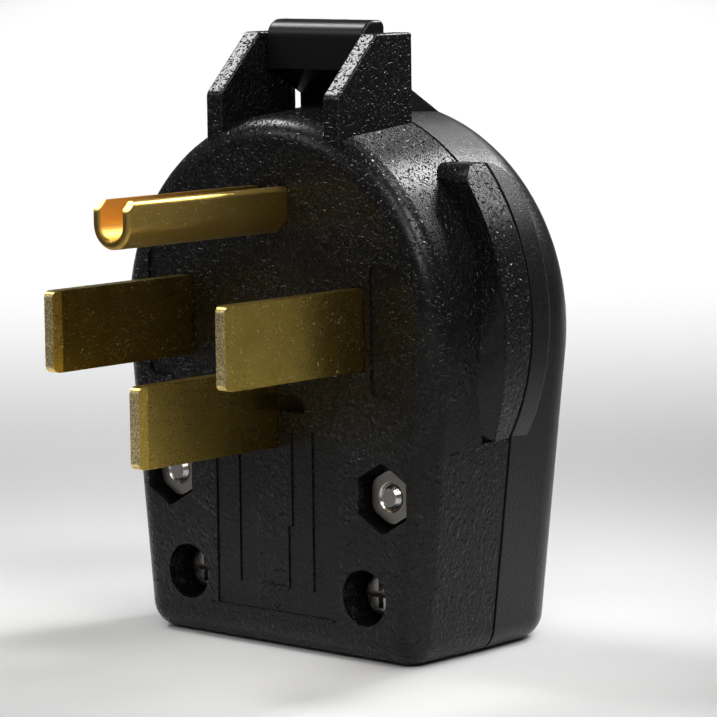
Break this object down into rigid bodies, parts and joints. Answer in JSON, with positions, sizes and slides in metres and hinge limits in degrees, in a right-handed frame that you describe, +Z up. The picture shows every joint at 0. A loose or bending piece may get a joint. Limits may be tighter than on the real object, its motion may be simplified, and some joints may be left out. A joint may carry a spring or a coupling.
{
  "type": "angled plug",
  "caption": "Rewireable angled power plug with a black two-shell housing, flat brass blades, a channel ground pin, a pull handle on top and a cord inlet in the base.",
  "frame": {"origin": "centre of the cord inlet on the base, in the plane where the two shells meet", "axes": "+X to the right of someone facing the prongs, -Y along the prongs to the socket, +Z up from the cord inlet to the handle"},
  "size_m": [0.0758, 0.0711, 0.0993],
  "materials": {
    "front_plastic": "black moulding with a coarse worm-like grain",
    "cover_plastic": "black moulding with a fine grain",
    "prong_brass": "satin rolled brass",
    "zinc_steel": "zinc-plated pressed steel",
    "nickel_steel": "bright nickel plating",
    "green_steel": "green-dyed plating"
  },
  "bodies": {
    "root": {"front_housing": "front_plastic", "rear_cover": "cover_plastic", "ground_pin": "prong_brass", "hot_blade_left": "prong_brass", "hot_blade_right": "prong_brass", "neutral_blade": "prong_brass", "ground_wire_block": "zinc_steel", "hot_left_wire_block": "zinc_steel", "hot_right_wire_block": "zinc_steel", "neutral_wire_block": "zinc_steel", "ground_clip": "zinc_steel", "hot_left_clip": "zinc_steel", "hot_right_clip": "zinc_steel", "neutral_clip": "zinc_steel", "terminal_screws": "nickel_steel", "ground_screw": "green_steel", "cover_nuts": "nickel_steel", "cover_screws": "nickel_steel", "clamp_screws": "nickel_steel", "cord_clamp": "zinc_steel"}
  },
  "joints": []
}
